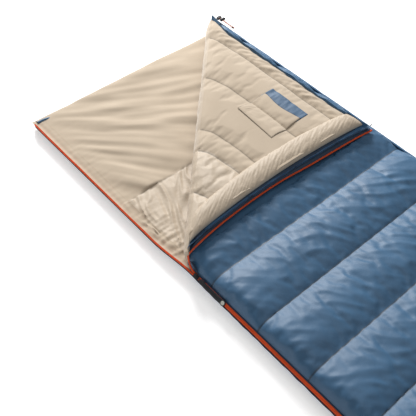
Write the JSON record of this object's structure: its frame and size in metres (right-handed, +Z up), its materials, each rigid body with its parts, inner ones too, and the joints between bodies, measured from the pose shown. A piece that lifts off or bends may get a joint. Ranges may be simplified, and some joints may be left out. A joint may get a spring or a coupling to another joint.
{
  "type": "rectangular sleeping bag",
  "caption": "Rectangular quilted sleeping bag with a long side zip, its top corner folded open over the blue shell, with an inner pocket and a head drawcord.",
  "frame": {"origin": "middle of the footprint, on the floor", "axes": "+Y toward the head, +Z up, the zip on the -X side"},
  "size_m": [0.8401, 2, 0.1255],
  "materials": {
    "shell_blue": "satin",
    "fill_white": "matte",
    "lining_fleece": "matte",
    "lining_taffeta": "satin",
    "tape_navy": "matte",
    "coil_orange": "satin",
    "metal_dark": "satin",
    "webbing_black": "matte",
    "plastic_black": "matte",
    "disc_grey": "matte",
    "cord_orange": "matte",
    "cord_beige": "matte"
  },
  "bodies": {
    "bag": {"base_fill": "fill_white", "base_head_hem": "shell_blue", "base_lining_fleece": "lining_fleece", "base_lining_taffeta": "lining_taffeta", "base_shell": "shell_blue", "base_zip_coil": "coil_orange", "base_zip_facing": "lining_taffeta", "base_zip_stop": "metal_dark", "base_zip_tape": "tape_navy", "cord_a": "cord_orange", "cord_b": "cord_beige", "cord_exit_tab": "webbing_black", "cord_tip_a": "cord_orange", "cord_tip_b": "cord_beige", "foot_seam": "shell_blue", "side_fold": "shell_blue", "top_draft_tube": "lining_fleece", "top_fill": "fill_white", "top_head_hem": "shell_blue", "top_lining_fleece": "lining_fleece", "top_lining_taffeta": "lining_taffeta", "top_shell": "shell_blue", "top_zip_coil": "coil_orange", "top_zip_guard": "tape_navy", "top_zip_tape": "tape_navy", "zip_foot_stop": "metal_dark"},
    "flap": {"flap_draft_tube": "lining_fleece", "flap_fill": "fill_white", "flap_head_hem": "shell_blue", "flap_lining_fleece": "lining_fleece", "flap_lining_taffeta": "lining_taffeta", "flap_shell": "shell_blue", "flap_zip_coil": "coil_orange", "flap_zip_guard": "tape_navy", "flap_zip_stop": "metal_dark", "flap_zip_tape": "tape_navy", "pocket_panel": "lining_fleece", "pocket_strip": "shell_blue"},
    "slider": {"slider_body": "metal_dark"},
    "pull": {"pull_link": "metal_dark", "pull_webbing": "webbing_black", "pull_end_rim": "plastic_black", "pull_disc": "disc_grey"},
    "cord_lock": {"cord_lock_body": "plastic_black"},
    "cord_button": {"cord_lock_button": "plastic_black"}
  },
  "joints": [
    {"name": "corner_fold", "type": "hinge", "parent": "bag", "child": "flap", "pos_m": [0, 0.628, 0.08225], "axis": [-0.7071, -0.7071, 0], "range_deg": [0, 180]},
    {"name": "zip_slide", "type": "slide", "parent": "bag", "child": "slider", "axis": [0, 1, 0], "range_m": [-1.09, 0.79]},
    {"name": "pull_swing", "type": "hinge", "parent": "slider", "child": "pull", "pos_m": [-0.41254, 0.178, 0.04354], "axis": [-0.7071, 0, -0.7071], "range_deg": [0, 170]},
    {"name": "lock_slide", "type": "slide", "parent": "bag", "child": "cord_lock", "axis": [0, 1, 0], "range_m": [-0.018, 0.005]},
    {"name": "lock_button", "type": "slide", "parent": "cord_lock", "child": "cord_button", "axis": [-1, 0, 0], "range_m": [0, 0.002], "stiffness_N_per_m": 800}
  ]
}
